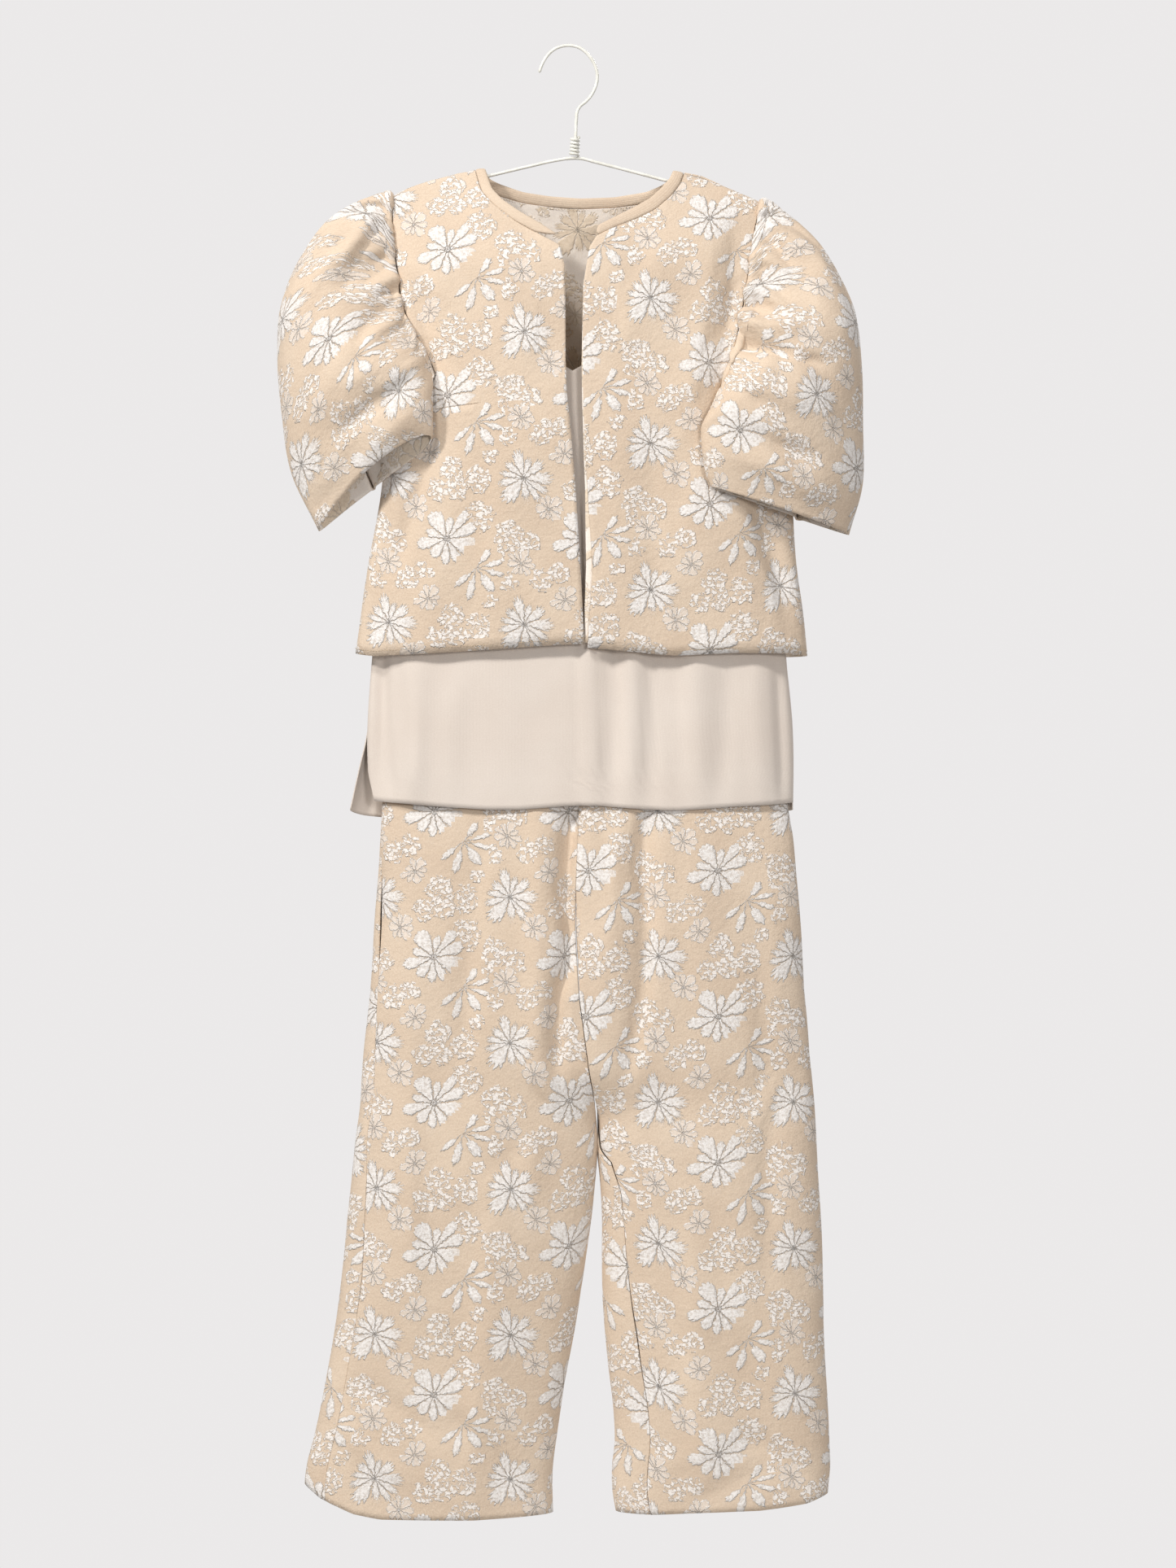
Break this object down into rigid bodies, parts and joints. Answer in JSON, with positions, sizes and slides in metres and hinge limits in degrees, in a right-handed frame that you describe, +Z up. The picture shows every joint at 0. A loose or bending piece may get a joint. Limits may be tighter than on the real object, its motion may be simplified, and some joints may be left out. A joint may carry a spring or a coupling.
{
  "type": "two-piece suit with under-top on a wire hanger",
  "caption": "Open collarless jacquard jacket with puff sleeves and cropped wide trousers over a plain knit top, hung on a wire hanger.",
  "frame": {"origin": "inside top of the hanger's hook, where a rail or nail holds it, in the plane of the wire", "axes": "+X towards the wearer's left, the right of the picture; +Y towards the garment's back; +Z up"},
  "size_m": [0.5936, 0.1028, 1.4932],
  "materials": {
    "jacquard": "matte puckered jacquard",
    "knit": "matte fine knit",
    "tape": "matte woven tape",
    "wire": "semi-gloss plastic-coated wire"
  },
  "bodies": {
    "root": {"hanger_hook": "wire", "hanger_twist": "wire", "hanger_arms": "wire", "jacket_front_left": "jacquard", "jacket_front_right": "jacquard", "jacket_back": "jacquard", "front_facing_left": "jacquard", "neck_binding": "jacquard", "sleeve_left": "jacquard", "sleeve_right": "jacquard", "top_front": "knit", "top_back": "knit", "top_strap_left": "knit", "top_strap_right": "knit", "waistband": "jacquard", "trouser_front_left": "jacquard", "trouser_front_right": "jacquard", "trouser_back_left": "jacquard", "trouser_back_right": "jacquard", "tape_left": "tape", "tape_right": "tape"}
  },
  "joints": []
}
